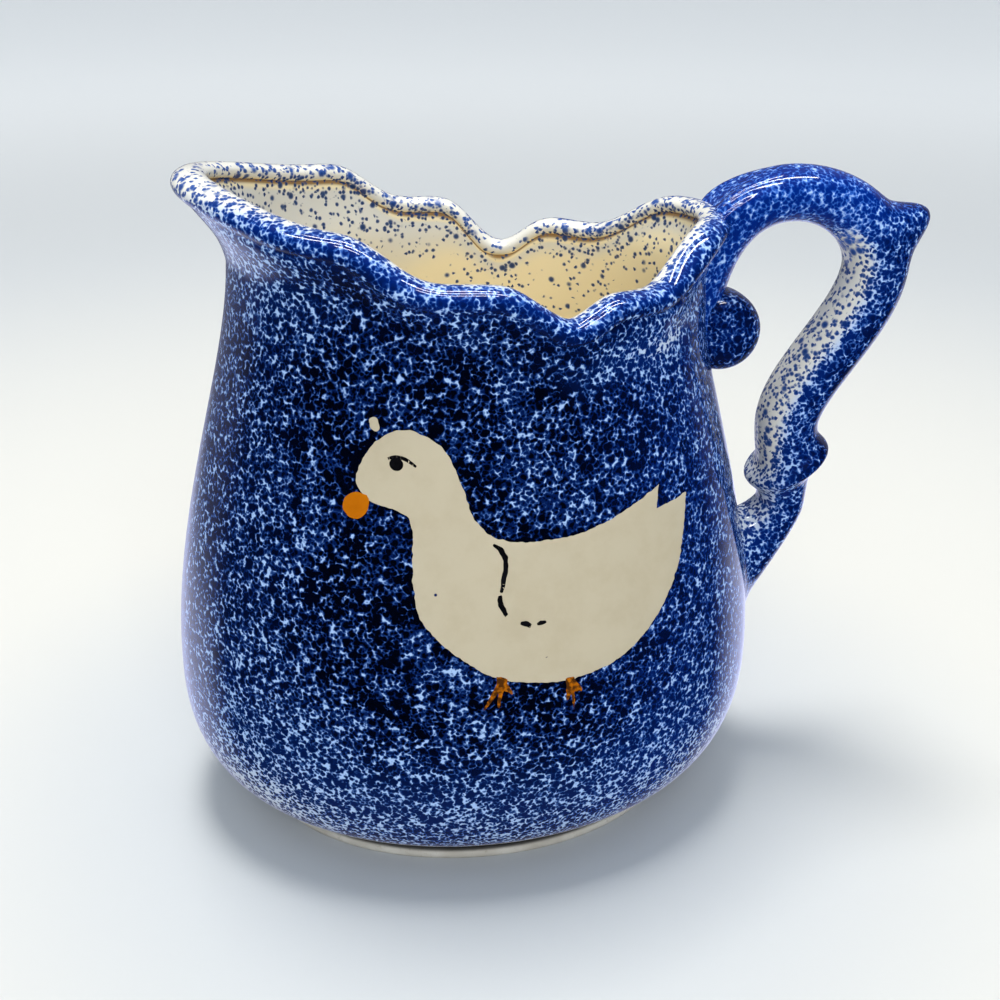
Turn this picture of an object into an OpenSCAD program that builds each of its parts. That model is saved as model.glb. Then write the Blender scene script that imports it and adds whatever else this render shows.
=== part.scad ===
// Glazed stoneware pitcher with an oval belly, a scalloped rolled rim, a pulled spout and a scroll handle.
// The foot rests on z = 0 with its centre at the origin. The handle is on +X, the spout on -X.
// A painted farmyard duck faces -Y.

/* [Body] */
// Length of the belly, from the spout side to the handle side
belly_length = 150.5; // [130:0.5:170]
// Width of the belly across the pouring direction
belly_width = 117; // [100:1:135]
// Height of the widest part of the belly above the table
belly_height = 37.4; // [32:0.2:46]
// Length of the neck at its narrowest
neck_length = 110.5; // [98:0.5:122]
// Width of the neck at its narrowest
neck_width = 86; // [76:0.5:96]
// Height of the narrowest part of the neck above the table
neck_height = 144.5; // [140:0.5:149]
// Thickness of the clay wall
wall = 4.6; // [3.6:0.2:5.6]
// Thickness of the clay floor
floor_thickness = 6; // [4:0.5:10]

/* [Foot] */
// Length of the foot ring
foot_length = 113; // [98:1:120]
// Width of the foot ring
foot_width = 88; // [76:1:96]
// Height of the belly's underside above the table
foot_height = 5; // [4:0.5:8]
// Height of the foot ring's lower flange
foot_flange = 2.4; // [1.5:0.1:3]
// Depth of the groove between the flange and the belly
foot_groove = 4; // [2:0.5:6]
// Width of the foot ring's bearing face
foot_bearing = 9; // [8:0.5:14]
// How far the belly oversails the foot ring
heel_overhang = 1.5; // [1:0.25:4]

/* [Rim] */
// Height of the rim's level crest above the table
rim_height = 147.5; // [144:0.5:154]
// Depth of the front scallop below the crest
front_notch_depth = 9; // [6:0.5:13]
// Depth of the back scallop below the crest
back_notch_depth = 13; // [6:0.5:13]
// Plan angle of the front scallop from the handle, in degrees
front_notch_angle = 71; // [68:0.5:78]
// Plan angle of the back scallop from the handle, in degrees
back_notch_angle = 75; // [68:0.5:78]
// Sharpness of the front scallop, from a round dip to a point
notch_sharpness = 0.35; // [0:0.05:0.8]
// Depth of the long dip between the scallop and the handle
saddle_drop = 5.5; // [3:0.5:9]
// Height of the small crest between the scallop and the dip
ripple_rise = 0.8; // [0.5:0.1:3]
// How far the rim leans, up at the back and down at the front
rim_lean = 1.5; // [0:0.1:2.5]
// Rise of the rim where the handle joins it
handle_rise = 5.5; // [3:0.5:8]
// Rise of the step that starts the spout
spout_step = 10; // [4:0.5:11]
// Rise of the spout's tip above the crest
spout_rise = 17; // [12:0.5:19]
// How far the spout is pulled out beyond the neck
spout_reach = 10; // [7:0.5:16]
// Half of the angle that the spout takes up in plan, in degrees
spout_half_angle = 46; // [35:1:60]
// Radius of the rolled lip
lip_radius = 3.2; // [2.9:0.1:4]
// How far the lip's roll stands out of the neck
roll_reach = 1.5; // [0.5:0.1:2.5]
// How far the neck opens out below the lip
lip_flare = 2.5; // [1:0.25:5]

/* [Handle] */
// Height of the middle of the handle's root on the neck
root_height = 142.6; // [141:0.2:144]
// Height where the handle's tail meets the belly
tail_height = 57; // [50:0.5:64]
// Reach of the handle's centre line from the neck
handle_reach = 48; // [40:1:58]
// Rise of the handle's arch above its root
handle_arch = 12.7; // [10:0.2:16]
// Height of the handle's outermost point
shoulder_height = 137; // [130:0.5:142]
// Height of the waist below the finger loop
waist_height = 96; // [92:0.5:102]
// Distance of the waist's centre line from the wall
waist_reach = 18.4; // [15:0.2:25]
// Thickness of the arch
arch_thickness = 13.4; // [10:0.2:17]
// Width of the arch
arch_width = 17; // [13:0.5:22]
// Thickness of the grip
grip_thickness = 15.8; // [12:0.2:19]
// Width of the grip
grip_width = 18; // [14:0.5:23]
// Thickness of the stem below the collar
stem_thickness = 12; // [9:0.2:16]
// Width of the stem below the collar
stem_width = 16; // [12:0.5:21]
// Height of the root above its middle
root_top = 9.8; // [8:0.2:10]
// How far the root runs down the neck below its middle
root_leg = 32.6; // [26:0.2:38]
// Width of the root on the neck
root_width = 19; // [15:0.5:24]
// Height of the tail on the belly
tail_span = 27; // [20:0.5:32]
// Width of the tail on the belly
tail_width = 22; // [16:0.5:28]
// How far the thumb spur stands out of the grip
spur_reach = 7.5; // [3:0.5:10]
// Half of the spur's length along the grip
spur_spread = 4.6; // [3:0.2:7]
// Height of the collar ring round the handle
collar_height = 85; // [83:0.5:89]
// How far the collar ring stands out of the handle
collar_reach = 3.7; // [1.5:0.1:5]
// Half of the collar ring's height
collar_spread = 4.6; // [3:0.2:6]
// How much higher the collar lies on its outer side than on its axis
collar_tilt = 4.4; // [1:0.2:5]

/* [Scroll] */
// Radius of the curl under the handle's root
curl_radius = 10; // [7:0.25:10.25]
// Width of the curl
curl_width = 18; // [13:0.5:22]
// Height of the curl's centre
curl_height = 122.5; // [118:0.25:122.5]
// How far the curl's centre stands off the neck
curl_standoff = 4.75; // [3:0.25:7]

/* [Joining slip] */
// Thickness of the slip that joins the handle to the wall
slip_thickness = 0.8; // [0.4:0.1:1.5]
// How far the slip shows round the handle
slip_margin = 1.2; // [0.5:0.1:2]

/* [Painted duck] */
// Thickness of each painted layer
paint = 0.4; // [0.3:0.05:0.8]
// Width of the drawn lines
line_width = 1.2; // [0.8:0.1:2]
// How far along the wall the duck stands from the middle, towards the handle
duck_x = 7; // [2:0.5:12]
// Height of the duck's belly line above the table
duck_z = 59; // [56:0.5:61]

/* [Hidden] */
// Steps round the oval, round the handle, round the curl and along a drawn curve
oval_steps = 120;
oval_step = 360 / oval_steps;
tube_sides = 20;
curl_sides = 24;
curve_steps = 5;
// Rows of the heel, of the plain wall, of the wall under the lip, outside and inside, and of the lip itself
heel_rows = 5;
plain_rows = 8;
neck_rows = 6;
inner_neck_rows = 3;
lip_rows = 6;
// Heights that bound the plain wall
heel_z = foot_height;
floor_z = foot_height + floor_thickness;
plain_drop = 23;
plain_top = neck_height - plain_drop;

// Curves
function mix(a, b, t) = a + (b - a) * t;
function clamp01(t) = min(1, max(0, t));
function smooth(t) = let (c = clamp01(t)) c * c * (3 - 2 * c);
function bump(d, spread) = exp(-2 * pow(d / spread, 2));
function bezier(p, t) =
    p[0] * pow(1 - t, 3) + p[1] * 3 * t * pow(1 - t, 2) + p[2] * 3 * t * t * (1 - t) + p[3] * pow(t, 3);

// A smooth open curve through a list of points
function between(a, b, c, d, t) =
    (2 * b + (c - a) * t + (2 * a - 5 * b + 4 * c - d) * t * t + (3 * b - a - 3 * c + d) * pow(t, 3)) / 2;
function curve(p) = let (last = len(p) - 1) [
    for (i = [0:last - 1], k = [0:curve_steps - 1])
        between(p[max(0, i - 1)], p[i], p[i + 1], p[min(last, i + 2)], k / curve_steps),
    p[last]
];

// Half length, half width and height along the wall's outside: the heel curve, then the shoulder curve
heel_start = [foot_length / 2 + heel_overhang, foot_width / 2 + heel_overhang, heel_z];
belly = [belly_length / 2, belly_width / 2, belly_height];
neck = [neck_length / 2, neck_width / 2, neck_height];
heel_run = [5, 4, 0];
heel_rise = 22;
shoulder_run = 43;
neck_run = 22.6;
up = [0, 0, 1];
heel = [heel_start, heel_start + heel_run, belly - up * heel_rise, belly];
shoulder = [belly, belly + up * shoulder_run, neck - up * neck_run, neck];

// The inside follows the outside, one wall in, down to the floor
inset = [wall, wall, 0];
inner_start = [heel_start[0] - wall, heel_start[1] - wall, floor_z];
inner_heel = [inner_start, inner_start + heel_run, belly - inset - up * heel_rise, belly - inset];

// Where a curve reaches height z, by halving the interval
function find(p, z, lo = 0, hi = 1, n = 18) = let (m = (lo + hi) / 2)
    n == 0 ? m : bezier(p, m)[2] < z ? find(p, z, m, hi, n - 1) : find(p, z, lo, m, n - 1);

// The neck opens out gently from just below its narrowest height
flare_lead = 6.5;
flare_height = 16;
function flare(z) = lip_flare * smooth((z - neck_height + flare_lead) / flare_height);
function neck_at(z) = z <= neck_height ? bezier(shoulder, find(shoulder, z)) : neck;
function wall_at(z) = z <= belly_height ? bezier(heel, find(heel, z)) : neck_at(z) + [flare(z), flare(z), 0];

// The spout is a push towards -X that grows with height, in place of the flare, and fades to either side
spout_lead = 0.5;
spout_base = neck_height - spout_lead;
spout_tip = rim_height + spout_rise;
spout_curve = 1.2;
function spout_side(a) = pow(cos(90 * min(1, abs(a - 180) / spout_half_angle)), 2);
function spout_share(z) = pow(max(0, (z - spout_base) / (spout_tip - spout_base)), spout_curve);
function spout_push(a, z) = spout_side(a) * (spout_reach * spout_share(z) - flare(z));

// A point of the wall at plan angle a and height z, d outside the outer face
function wall_point(a, z, d = 0) = let (w = wall_at(z))
    [(w[0] + d) * cos(a) - spout_push(a, z), (w[1] + d) * sin(a), z];

// Height of the rim above its crest, by plan angle from the handle: each station is a crest or a dip
handle_side = 17;
handle_slope = 0.5;
saddle_angle = 46;
ripple_gap = 14;
crest_from = 89;
crest_to = 103;
spout_angle = 121;
function rim_stations(notch_angle, notch_depth) = [
    [0, handle_rise], [handle_side, handle_rise - handle_slope], [saddle_angle, -saddle_drop],
    [notch_angle - ripple_gap, ripple_rise - saddle_drop], [notch_angle, -notch_depth],
    [crest_from, 0], [crest_to, 0], [spout_angle, spout_step], [180, spout_rise]
];
front_stations = rim_stations(front_notch_angle, front_notch_depth);
back_stations = rim_stations(back_notch_angle, back_notch_depth);
notch_station = 4;
function notch_ease(t, i) = i == notch_station ? t * (2 - t) : i == notch_station - 1 ? t * t : smooth(t);
function rim_ease(t, i, back) = mix(smooth(t), notch_ease(t, i), back ? 0 : notch_sharpness);
function rim_between(a, s, back, i = 0) = let (p = s[i], q = s[i + 1])
    a > q[0]
        ? rim_between(a, s, back, i + 1)
        : mix(p[1], q[1], rim_ease((a - p[0]) / (q[0] - p[0]), i, back));
function rim_z(a) = rim_height + rim_lean * sin(a)
    + (a < 180 ? rim_between(a, back_stations, true) : rim_between(360 - a, front_stations, false));

// The lip is a round bead that follows the rim and stays as thick where the rim is steep
lip_start = -40;
lip_end = 220;
steepest = 1.4;
lip_base = 0.9;
function arc_degree(a) = norm([neck[0] * sin(a), neck[1] * cos(a)]) * PI / 180;
function rim_slope(a) = (rim_z((a + 361) % 360) - rim_z((a + 359) % 360)) / (2 * arc_degree(a));
function lip_tall(a) = lip_radius * min(steepest, sqrt(1 + pow(rim_slope(a), 2)));
function lip_z(a) = rim_z(a) - lip_tall(a);
function wall_top(a) = lip_z(a) - lip_base * lip_tall(a);

// Below the lip the outside swells into a broad roll over a shallow groove, both following the rim
roll_depth = 5;
roll_spread = 8;
groove_depth = 14;
groove_share = 0.45;
function roll(a, z) = let (below = rim_z(a) - z, groove = bump(below - groove_depth, roll_spread))
    roll_reach * (bump(below - roll_depth, roll_spread) - groove_share * groove);
function outward(a) = let (n = [neck[1] * cos(a), neck[0] * sin(a), 0]) n / norm(n);
function lip_wide(a, turn) = lip_radius + (cos(turn) > 0 ? roll(a, lip_z(a)) : 0);
function lip_point(a, turn) = wall_point(a, lip_z(a), -wall / 2)
    + outward(a) * lip_wide(a, turn) * cos(turn) + up * lip_tall(a) * sin(turn);

// A closed skin over columns of points, with one point closing each end
module loft(columns, first, last) {
    n = len(columns);
    rows = len(columns[0]);
    points = [for (c = columns) each c, first, last];
    sides = [for (c = [0:n - 1], r = [0:rows - 2]) let (a = c * rows + r, b = ((c + 1) % n) * rows + r)
        each [[a, a + 1, b + 1], [a, b + 1, b]]];
    ends = [for (c = [0:n - 1]) let (a = c * rows, b = ((c + 1) % n) * rows)
        each [[a, b, n * rows], [b + rows - 1, a + rows - 1, n * rows + 1]]];
    polyhedron(points, concat(sides, ends));
}

// Body: heel, plain wall, neck and lip outside, then the same way down inside to the floor
function heel_z_at(r) = bezier(heel, r / heel_rows)[2];
function plain_z(r) = mix(belly_height, plain_top, r / plain_rows);
function floor_point(a, r) = let (p = bezier(inner_heel, r / heel_rows)) [p[0] * cos(a), p[1] * sin(a), p[2]];
function body_column(a) = let (top = wall_top(a)) [
    for (r = [0:heel_rows - 1]) wall_point(a, heel_z_at(r)),
    for (r = [0:plain_rows]) wall_point(a, plain_z(r)),
    for (r = [1:neck_rows]) let (z = mix(plain_top, top, r / neck_rows)) wall_point(a, z, roll(a, z)),
    for (r = [0:lip_rows]) lip_point(a, mix(lip_start, lip_end, r / lip_rows)),
    for (r = [inner_neck_rows:-1:1]) wall_point(a, mix(plain_top, top, r / inner_neck_rows), -wall),
    for (r = [plain_rows:-2:2]) wall_point(a, plain_z(r), -wall),
    for (r = [heel_rows:-1:0]) floor_point(a, r)
];

module body() {
    columns = [for (i = [0:oval_steps - 1]) body_column(i * oval_step)];
    color("midnightblue") loft(columns, [0, 0, heel_z], [0, 0, floor_z]);
}

// Foot ring: an oval ring with a flat bearing face
module foot_oval(margin) {
    polygon([for (i = [0:oval_steps - 1]) let (a = i * oval_step)
        [cos(a) * (foot_length / 2 - margin), sin(a) * (foot_width / 2 - margin)]]);
}

module oval_ring(margin) {
    difference() {
        foot_oval(margin);
        foot_oval(foot_bearing);
    }
}

module foot_ring() {
    color("wheat") {
        linear_extrude(foot_flange) oval_ring(0);
        linear_extrude(foot_height) oval_ring(foot_groove);
    }
}

// Outer face of the neck and lip near the handle, as x over y and z, d outside it
function plan_angle(y, z) = asin(y / wall_at(z)[1]);
function lip_x(a, z) = let (rise = max(sin(lip_start), (z - lip_z(a)) / lip_tall(a)))
    wall_point(a, lip_z(a), -wall / 2)[0] + lip_wide(a, 0) * sqrt(max(0, 1 - rise * rise));
function face_x(y, z, d = 0) = let (a = (plan_angle(y, z) + 360) % 360)
    d + (z < wall_top(a) ? wall_point(a, z, roll(a, z))[0] : lip_x(a, z));

// A patch on that face: an upright oval that reaches up and down from height z, share times its full size
function seat_point(turn, z, reach, width, d, share) =
    let (y = sin(turn) * share * width / 2, h = z + cos(turn) * share * reach[cos(turn) > 0 ? 0 : 1])
    [face_x(y, h, d), y, h];

// Distances from that face to the slip's two sides and to the handle's ends
seat_gap = 0.3;
slip_top = seat_gap + slip_thickness;
handle_face = slip_top + seat_gap;

// Handle: three curves in the XZ plane, from the top of the arch to the shoulder, the waist and the tail
apex_share = 0.52;
apex = [neck[0] + apex_share * handle_reach, root_height + handle_arch];
far = [neck[0] + handle_reach, shoulder_height];
waist = [wall_at(waist_height)[0] + waist_reach, waist_height];
tail = [wall_at(tail_height)[0], tail_height];
lean = far[0] - apex[0];
drop = shoulder_height - waist_height;
fall = waist_height - tail_height;
apex_lead = [0.52 * lean, 0];
far_rise = [0, 0.55 * (apex[1] - far[1])];
far_fall = [0, 0.34 * drop];
waist_rise = [0, 0.3 * drop];
waist_fall = [0, 0.4 * fall];
tail_lead = [15, 9];
handle_curves = [
    [apex, apex + apex_lead, far + far_rise, far],
    [far, far - far_fall, waist + waist_rise, waist],
    [waist, waist - waist_fall, tail + tail_lead, tail]
];
function path_at(u) = let (i = min(2, floor(u))) bezier(handle_curves[i], u - i);
function path_along(u) = let (e = 0.01, d = path_at(u + e) - path_at(max(0, u - e))) d / norm(d);

// Thickness and width along the handle, eased from one station to the next
stem_from = 2.45;
sections = [
    [0, arch_thickness, arch_width], [1, grip_thickness, grip_width], [2, grip_thickness, grip_width],
    [stem_from, stem_thickness, stem_width], [3, stem_thickness, stem_width]
];
function section_at(u, i = 0) = let (p = sections[i], q = sections[i + 1])
    u <= q[0] ? mix(p, q, smooth((u - p[0]) / (q[0] - p[0]))) : section_at(u, i + 1);

// The thumb spur leaves the outer side just above the shoulder, and a tilted collar rings the stem
spur_at = 0.78;
spur_sharpness = 3;
collar_from = 1.5;
function spur(u, turn) = let (away = norm(path_at(u) - path_at(spur_at)))
    spur_reach * bump(away, spur_spread) * pow(max(0, cos(turn)), spur_sharpness);
function collar(u, turn) = let (away = path_at(u)[1] - collar_height - collar_tilt * cos(turn))
    u < collar_from ? 0 : collar_reach * bump(away, collar_spread);
function free_ring(u, turn) =
    let (p = path_at(u), d = path_along(u), s = section_at(u) / 2, c = collar(u, turn))
    let (out = cos(turn) * (s[1] + c) + spur(u, turn), side = sin(turn) * (s[2] + c))
    [p[0] - d[1] * out, side, p[1] + d[0] * out];

// Both ends of the handle spread onto a seat, with curves from each seat point to the free section
root_reach = [root_top, root_leg];
tail_reach = [tail_span, tail_span] / 2;
function root_seat(turn, d, margin, share) =
    seat_point(turn, root_height, root_reach + [margin, margin], root_width + 2 * margin, d, share);
function tail_seat(turn, d, margin, share) =
    seat_point(turn + 180, tail_height, tail_reach + [margin, margin], -tail_width - 2 * margin, d, share);
root_top_lead = [3, 0, 4];
root_low_lead = [0.5, 0, 16];
root_top_run = 9;
root_low_run = 17.7;
tail_low_lead = [2, 0, 3];
tail_top_lead = [2, 0, 0.5];
tail_from = 2.5;
tail_low_run = 6;
tail_top_run = 2;
function outer_share(turn) = (1 + cos(turn)) / 2;
function root_ring(t, turn) =
    let (seat = root_seat(turn, handle_face, 0, 1), end = free_ring(0, turn))
    let (share = outer_share(turn), lead = mix(root_low_lead, root_top_lead, share))
    let (run = mix(root_low_run, root_top_run, share))
    bezier([seat, seat + lead, end - [run, 0, 0], end], t);
function tail_ring(t, turn) =
    let (seat = tail_seat(turn, handle_face, 0, 1), start = free_ring(tail_from, turn))
    let (share = outer_share(turn), lead = mix(tail_top_lead, tail_low_lead, share))
    let (d = path_along(tail_from), run = mix(tail_top_run, tail_low_run, share))
    bezier([start, start + [d[0], 0, d[1]] * run, seat + lead, seat], t);

seat_rings = 6;
root_rings = 9;
free_rings = 50;
tail_rings = 8;
root_middle = root_seat(0, handle_face, 0, 0);
function root_column(turn) = [
    for (i = [1:seat_rings - 1]) root_seat(turn, handle_face, 0, i / seat_rings),
    for (i = [0:root_rings]) root_ring(i / root_rings, turn)
];

module handle() {
    columns = [for (k = [0:tube_sides - 1]) let (turn = -360 * k / tube_sides) [
        each root_column(turn),
        for (i = [1:free_rings - 1]) free_ring(tail_from * i / free_rings, turn),
        for (i = [0:tail_rings]) tail_ring(i / tail_rings, turn),
        for (i = [seat_rings - 1:-1:1]) tail_seat(turn, handle_face, 0, i / seat_rings)
    ]];
    color("navy") loft(columns, root_middle, tail_seat(0, handle_face, 0, 0));
}

// The handle's root by itself, up to the top of the arch, grown to the sides and outwards
function grown(p, grow) = [p[0] + grow, p[1] * (1 + 2 * grow / root_width), p[2]];
module root_block(grow) {
    columns = [for (k = [0:tube_sides - 1]) [for (p = root_column(-360 * k / tube_sides)) grown(p, grow)]];
    loft(columns, grown(root_middle, grow), grown([apex[0], 0, apex[1]], grow));
}

// Joining slip: a thin pad between each end of the handle and the wall
function slip_point(turn, at_root, d, share) =
    at_root ? root_seat(turn, d, slip_margin, share) : tail_seat(turn, d, slip_margin, share);
function slip_column(turn, at_root) = [
    for (r = [1:seat_rings]) slip_point(turn, at_root, seat_gap, r / seat_rings),
    for (r = [seat_rings:-1:1]) slip_point(turn, at_root, slip_top, r / seat_rings)
];

module slip_pad(at_root) {
    way = at_root ? -1 : 1;
    columns = [for (k = [0:tube_sides - 1]) slip_column(way * 360 * k / tube_sides, at_root)];
    first = slip_point(0, at_root, seat_gap, 0);
    color("lightsteelblue") loft(columns, first, first + [slip_thickness, 0, 0]);
}

module root_slip() {
    slip_pad(true);
}

module tail_slip() {
    slip_pad(false);
}

// Curl: a rounded barrel across the root's leg, hollowed to sit on it
curl_x = wall_at(curl_height)[0] + curl_standoff;
curl_squareness = 3;
curl_rows = 10;
function curl_share(t) = pow(1 - pow(abs(t), curl_squareness), 1 / curl_squareness);
function curl_point(k, turn) =
    let (t = sin(90 * k), y = t * curl_width / 2, r = curl_radius * curl_share(t))
    let (z = curl_height + r * sin(turn))
    [max(curl_x + r * cos(turn), face_x(y, z, handle_face)), y, z];

module curl_barrel() {
    columns = [for (i = [0:curl_sides - 1]) let (turn = 360 * i / curl_sides)
        [for (k = [1:curl_rows - 1]) curl_point(1 - 2 * k / curl_rows, turn)]];
    loft(columns, curl_point(1, 0), curl_point(-1, 0));
}

module handle_curl() {
    color("navy") difference() {
        curl_barrel();
        root_block(0);
        root_block(seat_gap);
    }
}

// A layer over the front of the plain wall, from low to high above it, as wide as a drawing between two x
function front_angle(x) = 270 + asin((duck_x + x) / neck[0]);
module front_layer(low, high, x_from, x_to) {
    first = oval_step * floor(front_angle(x_from) / oval_step);
    cols = ceil((front_angle(x_to) - first) / oval_step) + 1;
    n = plain_rows;
    rows = 2 * n + 2;
    columns = [for (c = [0:cols - 1]) let (a = first + c * oval_step) [
        for (r = [0:n]) wall_point(a, plain_z(r), low),
        for (r = [n:-1:0]) wall_point(a, plain_z(r), high)
    ]];
    sides = [for (c = [0:cols - 2], r = [0:rows - 1])
        let (a = c * rows + r, b = c * rows + (r + 1) % rows, e = a + rows, f = b + rows)
        each [[a, f, b], [a, e, f]]];
    ends = [for (r = [0:n - 1]) let (s = rows - 1 - r, e = (cols - 1) * rows)
        each [[r, r + 1, s - 1], [r, s - 1, s], [e + r, e + s - 1, e + r + 1], [e + r, e + s, e + s - 1]]];
    polyhedron([for (c = columns) each c], concat(sides, ends));
}

// A drawing in the XZ plane laid onto the front wall
module painted(low, high, x_from, x_to) {
    intersection() {
        translate([duck_x, 0, duck_z]) rotate([90, 0, 0]) linear_extrude(belly_width) children();
        front_layer(low, high, x_from, x_to);
    }
}

// Duck outline from the tip of the raised tail feather along the back, over the head and under the belly
duck_back = [[31.5, 40], [23, 36.5], [13, 33.7], [3, 33], [-6, 34], [-11.5, 38.5], [-14, 46], [-18, 54]];
duck_head = [[-25.3, 57.6], [-32, 54.5], [-36, 47], [-33.5, 42.5], [-28, 40.6]];
duck_breast = [[-25, 37.5], [-25.2, 25], [-23.5, 16], [-16, 8], [-6, 2]];
duck_belly = [[8, 0], [20, 2.2], [29, 8], [36, 18], [38.5, 29], [39.2, 35.8]];
tail_notch = [30.8, 34.7];
module duck_outline() {
    polygon(concat(curve(concat(duck_back, duck_head, duck_breast, duck_belly)), [tail_notch]));
}

module duck_figure() {
    color("ivory") painted(0, paint, -37, 40) duck_outline();
}

// Bill: a blunt closed blob in front of the face
bill_centre = [-36.4, 40.6];
bill_length = 6.4;
bill_height = 5.4;
bill_tilt = 20;
dot_sides = 10;
module dot(size) {
    circle(d = size, $fn = dot_sides);
}

module duck_bill() {
    color("darkorange") painted(0, paint, -41, -32) difference() {
        translate(bill_centre) rotate(bill_tilt) scale([bill_length / bill_height, 1]) dot(bill_height);
        duck_outline();
    }
}

// Feet: a short leg that spreads into three toes, twice
leg = [
    [-1, 5], [-1.4, 1], [-4.4, -3], [-1.6, -2.6], [-0.4, -4.4], [1, -2.2], [3.4, -1.4], [1.2, 1.2], [1.2, 5]
];
leg_places = [-6.8, 9];
module duck_feet() {
    color("darkorange") painted(0, paint, -13, 15) difference() {
        for (x = leg_places) translate([x, 0]) polygon(leg);
        duck_outline();
    }
}

// A drawn line of even width along points
module stroke(p) {
    n = len(p) - 1;
    side = [for (i = [0:n]) let (d = p[min(n, i + 1)] - p[max(0, i - 1)])
        [-d[1], d[0]] / norm(d) * line_width / 2];
    polygon(concat([for (i = [0:n]) p[i] + side[i]], [for (i = [n:-1:0]) p[i] - side[i]]));
}

eye_centre = [-27.5, 50];
eye_size = 3;
eyelid = [[-29, 51.6], [-26.6, 51.9], [-23.8, 49.8]];
module duck_eye() {
    color("black") painted(paint, 2 * paint, -31, -22) {
        translate(eye_centre) dot(eye_size);
        stroke(curve(eyelid));
    }
}

wing_line = [[-7.5, 32.6], [-5.2, 28.7], [-6.2, 23], [-6.6, 19], [-5.2, 16.8]];
wing_dashes = [[[-2, 15.1], [0.2, 14.1]], [[1.6, 14.4], [3.4, 14.4]]];
module duck_wing_line() {
    color("black") painted(paint, 2 * paint, -10, 6) {
        stroke(curve(wing_line));
        for (dash = wing_dashes) stroke(dash);
    }
}

body();
foot_ring();
handle();
handle_curl();
root_slip();
tail_slip();
duck_figure();
duck_bill();
duck_feet();
duck_eye();
duck_wing_line();
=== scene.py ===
"""Looks of a glazed pitcher: sponged cobalt glaze, cream inside, scroll handle, painted farmyard duck."""

import math

import bpy
import numpy as np
from mathutils import Matrix, Vector
from mathutils.geometry import delaunay_2d_cdt


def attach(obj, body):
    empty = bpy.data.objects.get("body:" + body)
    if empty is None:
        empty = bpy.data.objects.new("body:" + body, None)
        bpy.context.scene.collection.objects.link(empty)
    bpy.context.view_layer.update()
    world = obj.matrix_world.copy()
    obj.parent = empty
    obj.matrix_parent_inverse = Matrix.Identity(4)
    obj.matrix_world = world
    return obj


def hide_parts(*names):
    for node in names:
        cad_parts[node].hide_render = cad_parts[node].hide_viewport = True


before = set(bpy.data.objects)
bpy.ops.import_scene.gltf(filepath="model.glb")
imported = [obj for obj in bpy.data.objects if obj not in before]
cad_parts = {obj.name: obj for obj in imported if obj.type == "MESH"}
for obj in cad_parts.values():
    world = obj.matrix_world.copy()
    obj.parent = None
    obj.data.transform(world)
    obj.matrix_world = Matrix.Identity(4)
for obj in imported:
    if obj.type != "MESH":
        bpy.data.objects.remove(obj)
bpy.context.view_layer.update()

# Sizes are in millimetres, as in the construction, and meshes are made in metres
MM = 0.001
BELLY = np.array([75.25, 58.5, 37.4])
NECK = np.array([55.25, 43.0, 144.5])
WALL = 4.6
FLOOR_Z = 11.0
FOOT = np.array([56.5, 44.0])
FOOT_FLANGE = 2.4
FOOT_GROOVE = 4.0
FOOT_BEARING = 9.0
HEEL_OVERHANG, HEEL_HEIGHT = 1.5, 6.8
UP = np.array([0.0, 0.0, 1.0])
HEEL_RISE, SHOULDER_RUN, NECK_RUN = 22.0, 43.0, 22.6
FLARE_LEAD, FLARE_HEIGHT = 6.5, 16.0

RIM_HEIGHT = 147.5
RIM_LEAN = 1.5
NOTCH_SHARPNESS = 0.35
FRONT_NOTCH = (71.0, 9.0)
BACK_NOTCH = (75.0, 13.0)
SADDLE_DROP = 5.5
RIPPLE_RISE = 0.8
HANDLE_RISE = 5.5
HANDLE_SIDE, HANDLE_SLOPE = 17, 0.5
SADDLE_ANGLE, RIPPLE_GAP = 46, 14
CREST_FROM, CREST_TO, SPOUT_ANGLE = 89, 103, 121
NOTCH_STATION = 4
SPOUT_STEP = 10.0
SPOUT_RISE = 17.0
SPOUT_REACH = 10.0
SPOUT_HALF_ANGLE = 46.0
SPOUT_BASE = NECK[2] - 0.5
SPOUT_TIP = RIM_HEIGHT + SPOUT_RISE
SPOUT_CURVE = 1.2
LIP_RADIUS = 3.2
LIP_BASE, STEEPEST = 0.9, 1.4
ROLL_DEPTH, ROLL_SPREAD, GROOVE_DEPTH, GROOVE_SHARE = 5, 8, 14, 0.45
LIP_START, LIP_END = -40.0, 232.0
ROLL_REACH = 1.5
INNER_ROLL, INNER_TALL = 0.1, 0.68
LIP_FLARE = 2.5
END_REACH, END_SPREAD, END_HEIGHT = 4.0, 34, 26
SCALLOP_REACH, SCALLOP_EASE = 22, 12
EVEN_PASSES, SCALLOP_PASSES, LIP_PASSES = 420, 60, 24


def smooth(t):
    t = np.clip(t, 0, 1)
    return t * t * (3 - 2 * t)


def mix(a, b, t):
    return a + (b - a) * t


def ramp(value, start, length):
    """Eased from 0 at start to 1 a length further on."""
    return smooth((value - start) / length)


def bump(d, spread):
    return np.exp(-2 * (d / spread) ** 2)


def near(value, centre, spread):
    return bump(value - centre, spread)


def bezier(p, t):
    """A cubic curve at t; t may be an array, and then points are along its last axis."""
    t = np.asarray(t, float)[..., None]
    return p[0] * (1 - t) ** 3 + p[1] * 3 * t * (1 - t) ** 2 + p[2] * 3 * t * t * (1 - t) + p[3] * t**3


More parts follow.
